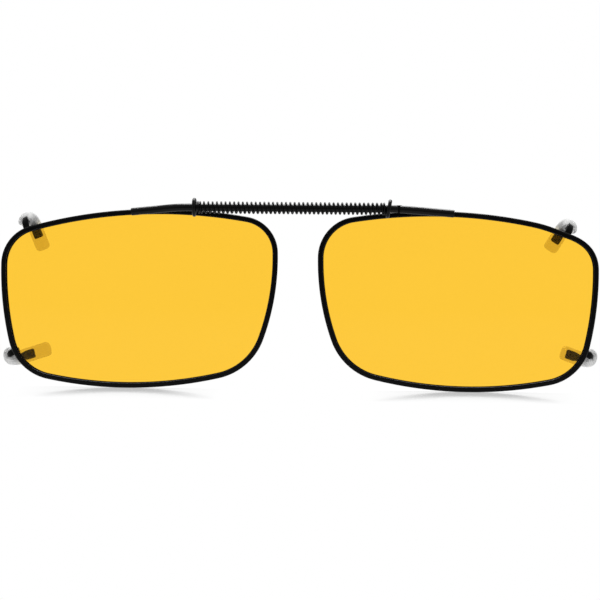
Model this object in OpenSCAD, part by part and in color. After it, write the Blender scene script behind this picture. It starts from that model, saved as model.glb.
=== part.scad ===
// Spring-bridge clip-on: two tinted lenses in wire rims that pull apart on a sprung bridge,
// with four sleeved hooks that grip the spectacles behind. Millimetres. +Z is up as worn and
// the front faces -Y. The origin is the middle of the spectacle front that the hooks hold.
// Left and right are as seen from the front.

/* [Lens outline] */
// Distance between the two lens centres
lens_spacing = 65.4; // [60:0.2:74]
// Height of the top edge's arc above the lens centre
top_reach = 17.15; // [15:0.05:20]
// Lean of the top edge towards the nose
top_lean = 3.4; // [0:0.2:6]
// Radius of the top edge
top_radius = 100; // [80:1:140]
// Reach of the temple edge from the lens centre
temple_reach = 27.2; // [25:0.1:30]
// Lean of the temple edge
temple_lean = 8; // [4:0.5:10]
// Radius of the temple edge
temple_radius = 66; // [55:1:90]
// Depth of the bottom edge below the lens centre
bottom_reach = 17.4; // [15:0.1:20]
// Lean of the bottom edge
bottom_lean = 2.2; // [0:0.2:5]
// Radius of the bottom edge
bottom_radius = 86; // [70:1:120]
// Reach of the nose edge from the lens centre
nose_reach = 25.9; // [24:0.1:27.5]
// Lean of the nose edge
nose_lean = 22; // [16:0.5:24]
// Radius of the nose edge
nose_radius = 48; // [42:1:60]
// Corner radius, top towards the temple
top_temple_corner = 7.2; // [4:0.1:9]
// Corner radius, bottom towards the temple
bottom_temple_corner = 9.1; // [6:0.1:11]
// Corner radius, bottom towards the nose
bottom_nose_corner = 11.5; // [8:0.1:13]
// Corner radius, top towards the nose
top_nose_corner = 6.9; // [4:0.1:9]

/* [Lens and rim] */
// Thickness of the lens
lens_t = 1.0; // [0.7:0.05:1.2]
// Radius of the lens's spherical curve
lens_curve = 180; // [140:5:400]
// Width of the rim wire, seen from the front
rim_w = 1.05; // [0.9:0.05:1.5]
// Depth of the rim wire, front to back
rim_depth = 1.6; // [1.5:0.05:2]
// Bevel on the rim wire's edges
rim_bevel = 0.25; // [0.1:0.01:0.3]
// Depth of the groove that holds the lens
groove_depth = 0.45; // [0.3:0.05:0.5]
// Play of the lens in its groove
lens_play = 0.06; // [0.05:0.01:0.1]

/* [Bridge] */
// Diameter of a bridge rod
rod_d = 1.54; // [1.2:0.02:1.6]
// Height of the bridge's axis above the rims' top
bridge_rise = 0.45; // [0.1:0.05:1]
// Running gap between the two half-round rods
rod_play = 0.06; // [0.04:0.01:0.1]
// Slope of the left rod's foot down along its rim
foot_droop = 7; // [3:0.5:8]
// Slope of the right rod's foot down along its rim
right_foot_droop = 4; // [2:0.5:6]
// Distance from the middle at which the left rod starts to slope
left_droop_start = 27.5; // [25:0.1:30]
// Distance from the middle to the left rod's foot end
left_foot_end = 34; // [33:0.1:37]
// Distance from the middle at which the right rod starts to slope
right_droop_start = 21.5; // [20.5:0.1:26]
// Distance from the middle to the right rod's foot end
right_foot_end = 31.8; // [31:0.1:35]
// Length over which a rod bends back to its rim
joggle_len = 5.8; // [4:0.1:7]
// Gap that the braze fills between two joined pieces
braze_gap = 0.02; // [0.01:0.01:0.05]
// Bevel on a rod's ends
rod_bevel = 0.2; // [0.1:0.01:0.3]
// Length over which the half-round runs out to the full round
shoulder_len = 0.3; // [0.2:0.05:0.6]
// Gap between a rod's free end and the other rod's shoulder
shoulder_gap = 0.4; // [0.2:0.05:1]

/* [Spring] */
// Distance from the middle to the left spring stop
left_stop_at = 20.95; // [20:0.05:22]
// Distance from the middle to the right spring stop
right_stop_at = 18.55; // [18:0.05:19.2]
// Outer diameter of a spring stop
stop_d = 3.85; // [3.6:0.05:4.2]
// Wire of a spring stop
stop_wire = 0.76; // [0.7:0.02:0.94]
// Angle of a spring stop's seat round its own rod
stop_seat_angle = 110; // [80:5:130]
// Gap between a spring stop and the rim behind it
stop_clear = 0.2; // [0.1:0.05:0.6]
// Length of rod past the left stop
left_tip = 0.5; // [0.3:0.05:0.8]
// Length of rod past the right stop
right_tip = 1.5; // [0.6:0.05:1.6]
// Outer diameter of the spring
spring_d = 2.55; // [2.45:0.01:2.8]
// Wire of the spring
spring_wire = 0.37; // [0.3:0.01:0.42]
// Turns of the spring
spring_turns = 45; // [30:1:45]
// Gap between the spring's ends and its stops
spring_seat_gap = 0.03; // [0.02:0.01:0.1]

/* [Hooks] */
// Width of the hook strip
strip_w = 1.4; // [1.2:0.05:1.8]
// Thickness of the hook strip
strip_t = 0.7; // [0.5:0.05:0.9]
// Rounding of the strip's edges
strip_round = 0.25; // [0.1:0.05:0.3]
// Radius of the hook's bend at the middle of the strip
hook_r = 2; // [1.9:0.05:3]
// Length of strip that lies on the rim, inwards from its middle
hook_stub = 0.5; // [0.48:0.01:0.6]
// Length of an upper hook's strip past the bend
strip_finger = 2.7; // [1:0.1:3]
// Length of a lower hook's strip past the bend
lower_strip_finger = 3.1; // [1:0.1:3.2]
// Sideways skew of the upper hooks' bend
hook_skew = 14; // [5:1:25]
// Sideways skew of the lower hooks' bend
lower_hook_skew = 24; // [5:1:25]
// Place of the upper left hook on the corner, as the angle of the rim's normal
upper_hook_at = 113; // [105:1:140]
// Place of the upper right hook on the corner, mirrored
upper_right_hook_at = 105; // [105:1:140]
// Place of the lower left hook on the corner, as the angle of the rim's normal
lower_hook_at = 207.5; // [200:0.5:225]
// Place of the lower right hook on the corner, mirrored
lower_right_hook_at = 201; // [200:0.5:225]
// Bend centre of the upper left hook, outside the middle of the rim
upper_hook_out = 0.45; // [0:0.05:0.8]
// Bend centre of the upper right hook, outside the middle of the rim
upper_right_hook_out = -0.4; // [-0.4:0.05:0.8]
// Bend centre of the lower left hook, outside the middle of the rim
lower_hook_out = 0.4; // [0:0.05:0.8]
// Bend centre of the lower right hook, outside the middle of the rim
lower_right_hook_out = 0.05; // [0:0.05:0.8]
// Direction of the upper left hook
upper_left_aim = 112; // [100:1:135]
// Direction of the upper right hook, mirrored
upper_right_aim = 122; // [100:1:135]
// Direction of the lower left hook
lower_left_aim = 198; // [185:1:215]
// Direction of the lower right hook, mirrored
lower_right_aim = 199; // [185:1:215]

/* [Sleeves] */
// Width of a sleeve
sleeve_w = 3.05; // [2.6:0.05:3.4]
// Thickness of a sleeve
sleeve_t = 2.3; // [2:0.05:2.4]
// Rounding of a sleeve's edges
sleeve_round = 0.8; // [0.5:0.05:0.9]
// Play of the strip in its sleeve
sleeve_play = 0.05; // [0.02:0.01:0.1]
// Angle round the bend at which a sleeve starts
sleeve_start = 38; // [36:1:50]
// Rounding of a sleeve's tip, seen from the front
sleeve_tip = 1; // [0.6:0.05:1.2]
// Length of the upper left sleeve past the bend
upper_left_finger = 5.45; // [4.5:0.05:7]
// Length of the upper right sleeve past the bend
upper_right_finger = 4.7; // [4.5:0.05:7]
// Length of the lower left sleeve past the bend
lower_left_finger = 6.55; // [4.5:0.05:7]
// Length of the lower right sleeve past the bend
lower_right_finger = 4.2; // [4.2:0.05:7]

/* [Hidden] */
$fn = 48;
sphere_fn = 360;
side_steps = 10;
corner_steps = 8;
rod_sides = 16;
joggle_steps = 8;
spring_sides = 6;
spring_steps = 8;
black = [0.03, 0.03, 0.035];
lens_yellow = [1, 0.76, 0.16, 0.75];
sleeve_clear = [0.86, 0.88, 0.88, 0.6];

// The four sides and corners, in order round the lens: top, temple, bottom, nose
side_reach = [top_reach, temple_reach, bottom_reach, nose_reach];
side_normal = [90 + top_lean, 180 + temple_lean, 270 + bottom_lean, 360 - nose_lean];
side_radius = [top_radius, temple_radius, bottom_radius, nose_radius];
corner_radius = [top_temple_corner, bottom_temple_corner, bottom_nose_corner, top_nose_corner];
corner_way = [[-1, 1], [-1, -1], [1, -1], [1, 1]];
upper_corner = 0;
lower_corner = 1;
lens_x = lens_spacing / 2;

function ray(angle) = [cos(angle), sin(angle)];
function angle_of(v) = atan2(v.y, v.x);
function turn_between(from, to) = (to - from + 720) % 360;
function side_centre(i) = (side_reach[i % 4] - side_radius[i % 4]) * ray(side_normal[i % 4]);

// Centre of the corner arc that touches side i and the next side
function corner_centre(i) =
    let (c1 = side_centre(i))
    let (c2 = side_centre(i + 1))
    let (r1 = side_radius[i % 4] - corner_radius[i % 4])
    let (r2 = side_radius[(i + 1) % 4] - corner_radius[i % 4])
    let (gap = norm(c2 - c1))
    let (along = (c2 - c1) / gap)
    let (foot = (gap * gap + r1 * r1 - r2 * r2) / (2 * gap))
    let (off = sqrt(r1 * r1 - foot * foot) * [-along.y, along.x])
    let (way = sign(off * corner_way[i % 4]))
    c1 + foot * along + way * off;

// The outline as stations [arc centre, arc radius, angle], counter-clockwise from the top edge
function arc_stations(centre, radius, from, to, steps) =
    [for (k = [0 : steps - 1]) [centre, radius, from + turn_between(from, to) * k / steps]];
function side_from(i) = angle_of(corner_centre(i + 3) - side_centre(i));
function side_to(i) = angle_of(corner_centre(i) - side_centre(i));
stations = [
    for (i = [0 : 3])
        each concat(
            arc_stations(side_centre(i), side_radius[i], side_from(i), side_to(i), side_steps),
            arc_stations(corner_centre(i), corner_radius[i], side_to(i), side_from(i + 1), corner_steps)
        )
];
function outline_point(s, out) = s[0] + (s[1] + out) * ray(s[2]);
function outline(out) = [for (s = stations) outline_point(s, out)];

// Depths. The lens curve falls back from its vertex by sag at a point of the outline's plane.
function sag(p) = lens_curve - sqrt(lens_curve * lens_curve - p * p);
function hook_base(corner, at) = corner_centre(corner) + (corner_radius[corner] + rim_w / 2) * ray(at);
upper_left_base = hook_base(upper_corner, upper_hook_at);
upper_right_base = hook_base(upper_corner, upper_right_hook_at);
lower_left_base = hook_base(lower_corner, lower_hook_at);
lower_right_base = hook_base(lower_corner, lower_right_hook_at);
function strip_edge_back(skew) = strip_w / 2 * sin(skew) + strip_t / 2 * cos(skew);
function bend_back(skew) = rim_depth / 2 + braze_gap + strip_edge_back(skew) + hook_r * cos(skew);
vertex_y = -(sag(upper_left_base) + bend_back(hook_skew));
function rim_front(p) = vertex_y + sag(p) - rim_depth / 2;
function hook_y(base, skew) = vertex_y + sag(base) + bend_back(abs(skew));

// The bridge's axis stands in front of the rims by a spring stop's radius
rim_top = side_centre(0).y + top_radius + rim_w;
axis_z = rim_top + bridge_rise;
rod_r = rod_d / 2;
left_stop_rim = rim_front([lens_x - left_stop_at, rim_top - rim_w]);
right_stop_rim = rim_front([lens_x - right_stop_at, rim_top - rim_w]);
axis_y = min(left_stop_rim, right_stop_rim) - stop_clear - stop_d / 2;
left_rod_tip = right_stop_at + stop_wire / 2 + right_tip;
right_rod_tip = left_stop_at + stop_wire / 2 + left_tip;

// Spring between the stops
spring_r = (spring_d - spring_wire) / 2;
spring_end_room = (stop_wire + spring_wire) / 2 + spring_seat_gap;
spring_from = -left_stop_at + spring_end_room;
spring_to = right_stop_at - spring_end_room;
spring_pitch = (spring_to - spring_from) / spring_turns;
function coil_point(turns) =
    let (across = spring_r * ray(360 * turns))
    [spring_from + spring_pitch * turns, axis_y + across.x, axis_z + across.y];

// Least gap between neighbouring turns, from half a turn to one and a half turns along the wire
gap_steps = 32;
turn_gaps = [for (k = [0 : gap_steps]) norm(coil_point(0.5 + k / gap_steps) - coil_point(0)) - spring_wire];
echo(spring_least_gap = min(turn_gaps));

// Faces of a tube made of rings of points, joined up into a loop or closed by two end caps
function tube_faces(rings, sides, looped) =
    let (last = looped ? rings - 1 : rings - 2)
    concat(
        [for (k = [0 : last]) for (j = [0 : sides - 1])
            each tube_quad(k * sides, ((k + 1) % rings) * sides, j, (j + 1) % sides)],
        looped ? [] : [[for (j = [0 : sides - 1]) sides - 1 - j]],
        looped ? [] : [[for (j = [0 : sides - 1]) (rings - 1) * sides + j]]
    );
function tube_quad(here, next, j, k) = [[here + j, here + k, next + j], [here + k, next + k, next + j]];

module right_side() {
    mirror([1, 0, 0]) children();
}

module at_left_lens() {
    translate([-lens_x, 0, 0]) children();
}

// Rim: a grooved wire swept round the outline and bent to the lens curve
module rim() {
    half = rim_depth / 2;
    groove = lens_t / 2 + lens_play;
    section = [
        [groove_depth, -groove], [groove_depth, groove], [0, groove],
        [0, half - rim_bevel], [rim_bevel, half], [rim_w - rim_bevel, half], [rim_w, half - rim_bevel],
        [rim_w, rim_bevel - half], [rim_w - rim_bevel, -half], [rim_bevel, -half], [0, rim_bevel - half],
        [0, -groove],
    ];
    points = [
        for (s = stations) for (q = section)
            let (p = outline_point(s, q.x))
            [p.x - lens_x, vertex_y + sag(p) + q.y, p.y]
    ];
    polyhedron(points, tube_faces(len(stations), len(section), true), convexity = 6);
}

// Lens: a spherical shell cut to the outline at the bottom of the rim's groove
module lens() {
    depth = 2 * sag([temple_reach + rim_w, top_reach + rim_w]) + 2 * lens_t;
    at_left_lens() intersection() {
        translate([0, vertex_y, 0])
            rotate([90, 0, 0])
                linear_extrude(2 * depth, center = true) polygon(outline(groove_depth - lens_play));
        translate([0, vertex_y + lens_curve, 0]) difference() {
            sphere(lens_curve + lens_t / 2, $fn = sphere_fn);
            sphere(lens_curve - lens_t / 2, $fn = sphere_fn);
        }
    }
}

// Bridge rod: a round foot on its own rim, then a half round that slides on the other rod.
// The left rod, side -1, has the front half and the right rod, side 1, the rear one.
function smooth_step(t) = let (c = max(0, min(1, t))) c * c * (3 - 2 * c);
module bridge_rod(side, foot_end, droop_start, droop, shoulder, tip) {
    foot_z = axis_z - (foot_end - droop_start) * tan(droop);
    foot_y = rim_front([foot_end - lens_x, foot_z]) - braze_gap - rod_r;
    joggle_start = shoulder + 2 * shoulder_len;
    joggle_stop = joggle_start + joggle_len;
    // Rows of [distance from the middle, size of the section, half round or not]
    rows = concat(
        [[foot_end, 1 - rod_bevel / rod_r, false], [foot_end - rod_bevel, 1, false]],
        [for (k = [0 : joggle_steps]) [joggle_stop - joggle_len * k / joggle_steps, 1, false]],
        [[shoulder + shoulder_len, 1, false], [shoulder, 1, true]],
        [[rod_bevel - tip, 1, true], [-tip, 1 - rod_bevel / rod_r, true]]
    );
    points = [
        for (row = rows) for (j = [0 : rod_sides - 1])
            let (round_part = rod_r * row[1] * ray(90 - side * 90 + side * 360 * j / rod_sides))
            let (flat_y = side * max(side * round_part.x, rod_play / 2))
            let (share = smooth_step((row[0] - joggle_start) / joggle_len))
            let (drop = max(0, row[0] - droop_start) * tan(droop))
            [
                side * row[0],
                axis_y + (foot_y - axis_y) * share + (row[2] ? flat_y : round_part.x),
                axis_z - drop + round_part.y,
            ]
    ];
    polyhedron(points, tube_faces(len(rows), rod_sides, false), convexity = 6);
}

// Spring stop: a wire ring with a seat that joins it to its own rod, on the front or rear side
module spring_stop(half) {
    ring_r = (stop_d - stop_wire) / 2;
    seat_r = rod_r + braze_gap;
    seat_w = stop_wire / 2;
    translate([0, axis_y, axis_z]) rotate([0, 90, 0]) {
        rotate_extrude() translate([ring_r, 0]) circle(stop_wire / 2);
        rotate([0, 0, half * 90 - stop_seat_angle / 2])
            rotate_extrude(angle = stop_seat_angle)
                translate([seat_r, -seat_w / 2]) square([ring_r - seat_r, seat_w]);
    }
}

// Spring: one unbroken coiled tube
module coil_spring() {
    coil_rows = spring_turns * spring_steps;
    points = [
        for (k = [0 : coil_rows]) for (j = [0 : spring_sides - 1])
            let (turns = k / spring_steps)
            let (across = spring_wire / 2 * ray(360 * j / spring_sides))
            let (away = across.x * ray(360 * turns))
            coil_point(turns) + [across.y, away.x, away.y]
    ];
    polyhedron(points, tube_faces(coil_rows + 1, spring_sides, false), convexity = 10);
}

// Hooks lie with the bend's centre at the origin, outwards along +X and backwards along +Y
module at_hook(base, out, aim, skew) {
    leg_offset = hook_r * sin(skew) * [sin(aim), -cos(aim)];
    centre = base + out * ray(aim) - leg_offset;
    at_left_lens()
        translate([centre.x, hook_y(base, skew), centre.y])
            rotate([0, -aim, 0])
                rotate([skew, 0, 0]) children();
}

module rounded_bar(t, w, r) {
    square([t - 2 * r, w], center = true);
    square([t, w - 2 * r], center = true);
    for (x = [r - t / 2, t / 2 - r], y = [r - w / 2, w / 2 - r]) translate([x, y]) circle(r);
}

module strip_section(play) {
    rounded_bar(strip_t + 2 * play, strip_w + 2 * play, strip_round + play);
}

module sleeve_section() {
    rounded_bar(sleeve_t, sleeve_w, sleeve_round);
}

// A section carried round the bend to its finger end, from an angle after its start
module bent(from) {
    mirror([0, 1, 0])
        rotate([0, 0, -90])
            rotate_extrude(angle = 180 - from) translate([hook_r, 0]) children();
}

// A section carried straight inwards from one end of the bend
module straight(way, length) {
    translate([-length, way * hook_r, 0]) rotate([90, 0, 90]) linear_extrude(length) children();
}

module hook(out, strip_end) {
    straight(-1, hook_stub + out) strip_section(0);
    bent(0) strip_section(0);
    straight(1, strip_end) strip_section(0);
}

// What is cut away to leave a sleeve with a rounded tip
module tip_corners(finger) {
    corner_z = sleeve_w / 2 - sleeve_tip;
    translate([sleeve_tip - finger, hook_r, 0]) rotate([90, 0, 0]) difference() {
        translate([-2 * sleeve_tip, -sleeve_w, -sleeve_t])
            cube([2 * sleeve_tip, 2 * sleeve_w, 2 * sleeve_t]);
        linear_extrude(3 * sleeve_t, center = true) {
            for (z = [-corner_z, corner_z]) translate([0, z]) circle(sleeve_tip);
            square([2 * sleeve_tip, 2 * corner_z], center = true);
        }
    }
}

module sleeve(finger, strip_end) {
    difference() {
        union() {
            bent(sleeve_start) sleeve_section();
            straight(1, finger) sleeve_section();
        }
        tip_corners(finger);
        bent(sleeve_start - 1) strip_section(sleeve_play);
        straight(1, strip_end + sleeve_play) strip_section(sleeve_play);
    }
}

module left_rim() {
    color(black) rim();
}

module right_rim() {
    color(black) right_side() rim();
}

module left_lens() {
    color(lens_yellow) lens();
}

module right_lens() {
    color(lens_yellow) right_side() lens();
}

module left_bridge_rod() {
    shoulder = right_rod_tip + shoulder_gap;
    color(black) bridge_rod(-1, left_foot_end, left_droop_start, foot_droop, shoulder, left_rod_tip);
}

module right_bridge_rod() {
    shoulder = left_rod_tip + shoulder_gap;
    color(black) bridge_rod(1, right_foot_end, right_droop_start, right_foot_droop, shoulder, right_rod_tip);
}

module left_spring_stop() {
    color(black) translate([-left_stop_at, 0, 0]) spring_stop(1);
}

module right_spring_stop() {
    color(black) translate([right_stop_at, 0, 0]) spring_stop(-1);
}

module bridge_spring() {
    color(black) coil_spring();
}

module at_upper_left() {
    at_hook(upper_left_base, upper_hook_out, upper_left_aim, -hook_skew) children();
}

module at_upper_right() {
    right_side()
        at_hook(upper_right_base, upper_right_hook_out, upper_right_aim, -hook_skew) children();
}

module at_lower_left() {
    at_hook(lower_left_base, lower_hook_out, lower_left_aim, lower_hook_skew) children();
}

module at_lower_right() {
    right_side()
        at_hook(lower_right_base, lower_right_hook_out, lower_right_aim, lower_hook_skew) children();
}

module left_upper_hook() {
    color(black) at_upper_left() hook(upper_hook_out, strip_finger);
}

module left_upper_sleeve() {
    color(sleeve_clear) at_upper_left() sleeve(upper_left_finger, strip_finger);
}

module left_lower_hook() {
    color(black) at_lower_left() hook(lower_hook_out, lower_strip_finger);
}

module left_lower_sleeve() {
    color(sleeve_clear) at_lower_left() sleeve(lower_left_finger, lower_strip_finger);
}

module right_upper_hook() {
    color(black) at_upper_right() hook(upper_right_hook_out, strip_finger);
}

module right_upper_sleeve() {
    color(sleeve_clear) at_upper_right() sleeve(upper_right_finger, strip_finger);
}

module right_lower_hook() {
    color(black) at_lower_right() hook(lower_right_hook_out, lower_strip_finger);
}

module right_lower_sleeve() {
    color(sleeve_clear) at_lower_right() sleeve(lower_right_finger, lower_strip_finger);
}

left_rim();
left_lens();
left_bridge_rod();
left_spring_stop();
left_upper_hook();
left_upper_sleeve();
left_lower_hook();
left_lower_sleeve();
right_rim();
right_lens();
right_bridge_rod();
right_spring_stop();
right_upper_hook();
right_upper_sleeve();
right_lower_hook();
right_lower_sleeve();
bridge_spring();
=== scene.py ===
"""Looks of a spring-bridge clip-on: rims, lenses, bridge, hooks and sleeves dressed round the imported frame.

Blender's lengths are metres, and the settings' defaults are written in millimetres.
+Z is up as worn, the front faces -Y, and left and right are as seen from the front.
"""

import functools
import math

import bmesh
import bpy
from bpy.props import FloatProperty, FloatVectorProperty, IntProperty, PointerProperty
from bpy.types import Operator, Panel, PropertyGroup
from mathutils import Matrix, Quaternion, Vector


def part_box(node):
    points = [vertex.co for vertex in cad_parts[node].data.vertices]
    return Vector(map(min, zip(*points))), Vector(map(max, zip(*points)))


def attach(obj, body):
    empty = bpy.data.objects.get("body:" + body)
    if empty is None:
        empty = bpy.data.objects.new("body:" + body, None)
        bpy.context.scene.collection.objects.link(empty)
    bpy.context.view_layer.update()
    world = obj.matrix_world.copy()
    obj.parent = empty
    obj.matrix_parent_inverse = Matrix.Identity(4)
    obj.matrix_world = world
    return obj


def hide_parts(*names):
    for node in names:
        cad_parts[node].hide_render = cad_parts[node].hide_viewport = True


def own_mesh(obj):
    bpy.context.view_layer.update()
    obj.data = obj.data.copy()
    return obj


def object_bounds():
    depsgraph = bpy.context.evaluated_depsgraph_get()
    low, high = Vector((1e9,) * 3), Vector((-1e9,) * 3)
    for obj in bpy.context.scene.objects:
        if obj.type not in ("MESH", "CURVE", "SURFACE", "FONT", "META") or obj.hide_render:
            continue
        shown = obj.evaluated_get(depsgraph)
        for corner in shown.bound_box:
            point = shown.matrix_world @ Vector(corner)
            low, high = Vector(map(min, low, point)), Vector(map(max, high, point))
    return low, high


bl_info = {
    "name": "Spring-bridge clip-on lenses",
    "version": (1, 0, 0),
    "blender": (4, 5, 0),
    "location": "3D View > Sidebar > Clip-on",
    "description": "Makes the rims, lenses, sprung bridge, hooks and sleeves of a clip-on round its frame",
    "category": "Add Mesh",
}

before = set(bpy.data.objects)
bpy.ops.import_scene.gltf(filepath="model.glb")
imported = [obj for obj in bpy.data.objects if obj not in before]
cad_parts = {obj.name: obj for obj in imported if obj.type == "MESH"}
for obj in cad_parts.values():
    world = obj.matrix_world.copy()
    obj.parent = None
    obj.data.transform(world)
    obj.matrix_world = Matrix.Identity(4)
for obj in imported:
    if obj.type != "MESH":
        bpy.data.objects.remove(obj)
CAD_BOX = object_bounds()
LENS_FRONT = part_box("left_lens")[0].y
MM = 0.001
LEFT, RIGHT = "left", "right"
SIGN = {LEFT: -1, RIGHT: 1}
BODY = {LEFT: "left_half", RIGHT: "right_half"}
OTHER = {LEFT: RIGHT, RIGHT: LEFT}
HOOKS = (("upper", LEFT), ("upper", RIGHT), ("lower", LEFT), ("lower", RIGHT))
FRONT = Vector((0, -1, 0))
BACK = Vector((0, 1, 0))
FULL_TURN = 2 * math.pi
WHITE = (1, 1, 1, 1)
# What a swept line's points carry for its section, and what a hook's points carry for its finish
UP_ATTRIBUTE = "section_up"
SCALE_ATTRIBUTE = "section_scale"
HOOK_ATTRIBUTE = "place_on_hook"
# Points nearer than this are one point, and edges that bend more than this look sharp
MERGE_DISTANCE = 0.0001 * MM
SHARP_EDGE = math.radians(40)
# Places of the two colours and of the mixed colour among a Mix node's sockets
MIX_COLOURS = (6, 7)
MIX_RESULT = 2


# Settings

def length(name, description, mm):
    """A length property whose default is given in millimetres."""
    return FloatProperty(name=name, description=description, default=mm * MM, unit="LENGTH", precision=6)


def angle(name, description, degrees):
    """An angle property whose default is given in degrees."""
    return FloatProperty(name=name, description=description, default=math.radians(degrees), unit="ROTATION")


def power(name, description, watts):
    """A lamp's power property."""
    return FloatProperty(name=name, description=description, default=watts, unit="POWER")


def share(name, description, default):
    """A plain number property."""
    return FloatProperty(name=name, description=description, default=default)


def whole(name, description, default):
    """A whole number property."""
    return IntProperty(name=name, description=description, default=default)


def colour(name, description, rgb):
    """A colour property, in linear light."""
    kind = {"subtype": "COLOR", "size": 3, "min": 0, "max": 1}
    return FloatVectorProperty(name=name, description=description, default=rgb, **kind)


def hook_lengths(name, description, mm):
    """One length for each hook: upper left, upper right, lower left, lower right."""
    default = [x * MM for x in mm]
    return FloatVectorProperty(name=name, description=description, default=default, size=4, unit="LENGTH")


def hook_angles(name, description, degrees):
    """One angle for each hook, in the same order."""
    default = [math.radians(x) for x in degrees]
    return FloatVectorProperty(name=name, description=description, default=default, size=4, unit="ROTATION")


class OutlineSettings(PropertyGroup):
    """The lens edge: four long arcs and four corner arcs round the lens centre."""
    spacing: length("Lens spacing", "Distance between the two lens centres", 65.4)
    top_reach: length("Top reach", "Height of the top edge above the lens centre", 17.15)
    top_lean: angle("Top lean", "Lean of the top edge towards the nose", 3.4)
    top_radius: length("Top radius", "Radius of the top edge", 100)
    temple_reach: length("Temple reach", "Reach of the temple edge from the lens centre", 27.2)
    temple_lean: angle("Temple lean", "Lean of the temple edge", 8)
    temple_radius: length("Temple radius", "Radius of the temple edge", 66)
    bottom_reach: length("Bottom reach", "Depth of the bottom edge below the lens centre", 17.4)
    bottom_lean: angle("Bottom lean", "Lean of the bottom edge", 2.2)
    bottom_radius: length("Bottom radius", "Radius of the bottom edge", 86)
    nose_reach: length("Nose reach", "Reach of the nose edge from the lens centre", 25.9)
    nose_lean: angle("Nose lean", "Lean of the nose edge", 22)
    nose_radius: length("Nose radius", "Radius of the nose edge", 48)
    top_temple_corner: length("Top temple corner", "Corner radius, top towards the temple", 7.2)
    bottom_temple_corner: length("Bottom temple corner", "Corner radius, bottom towards the temple", 9.1)
    bottom_nose_corner: length("Bottom nose corner", "Corner radius, bottom towards the nose", 11.5)
    left_top_nose_corner: length("Left top nose corner", "Left corner radius, top towards the nose", 6.55)
    right_top_nose_corner: length("Right top nose corner", "Right corner radius, top towards the nose", 7.4)
    right_slope: length("Right slope", "How far the right lens slopes in beside its upper hook", 0.57)
    right_slope_place: angle("Right slope place", "Angle round the lens centre where it slopes most", 150)
    right_slope_spread: angle("Right slope spread", "Angle over which that slope runs out", 7.5)
    side_steps: whole("Side steps", "Points along a long arc", 40)
    corner_steps: whole("Corner steps", "Points along a corner arc", 28)


class RimSettings(PropertyGroup):
    """The grooved rim wire and the lens in it."""
    width: length("Rim width", "Width of the rim wire seen from the front", 1.05)
    depth: length("Rim depth", "Depth of the rim wire, front to back", 1.6)
    edge_round: length("Edge rounding", "Rounding of the rim wire's outer edges", 0.42)
    lip_round: length("Lip rounding", "Rounding of the lips beside the groove", 0.2)
    groove_depth: length("Groove depth", "Depth of the groove that holds the lens", 0.45)
    lens_play: length("Lens play", "Play of the lens in its groove", 0.06)
    lens_thickness: length("Lens thickness", "Thickness of the lens", 1.0)
    lens_curve: length("Lens curve", "Radius of the lens's spherical curve", 180)
    lens_edge: length("Lens edge", "Chamfer of the lens's edge", 0.12)


class BridgeSettings(PropertyGroup):
    """The two half-round rods, their feet, the stops and the spring."""
    rod: length("Rod diameter", "Diameter of a bridge rod", 1.54)
    rod_play: length("Rod play", "Running gap between the two half-round rods", 0.06)
    rod_bevel: length("Rod bevel", "Bevel on a rod's ends", 0.2)
    left_foot_droop: angle("Left foot droop", "Slope of the left rod's foot down along its rim", 6)
    right_foot_droop: angle("Right foot droop", "Slope of the right rod's foot down along its rim", 4.6)
    droop_blend: length("Droop blend", "Length over which the slope begins", 2.4)
    left_droop_start: length("Left droop start", "Where the left foot slopes, from the middle", 24)
    right_droop_start: length("Right droop start", "Where the right foot slopes, from the middle", 20.5)
    joggle: length("Joggle", "Length over which a rod bends back to its rim", 5.8)
    shoulder: length("Shoulder", "Length over which the half round runs out to the full round", 0.3)
    shoulder_gap: length("Shoulder gap", "Gap between a rod's free end and the other rod's shoulder", 0.4)
    braze_gap: length("Braze gap", "Gap that the braze fills between two joined pieces", 0.02)
    stop_wire: length("Stop wire", "Wire of a spring stop", 0.76)
    stop_seat: angle("Stop seat", "Angle of a stop's seat round its own rod", 110)
    left_stop_tilt: angle("Left stop tilt", "Lean of the left spring stop", 0)
    right_stop_tilt: angle("Right stop tilt", "Lean of the right spring stop", 10)
    spring: length("Spring diameter", "Outer diameter of the spring", 2.55)
    spring_wire: length("Spring wire", "Wire of the spring", 0.37)
    spring_turns: whole("Spring turns", "Turns of the spring", 45)
    closed_turns: share("Closed turns", "Close-wound turns at each end of the spring", 1.5)
    closed_pitch: length("Closed pitch", "Advance of a close-wound turn", 0.46)


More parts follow.
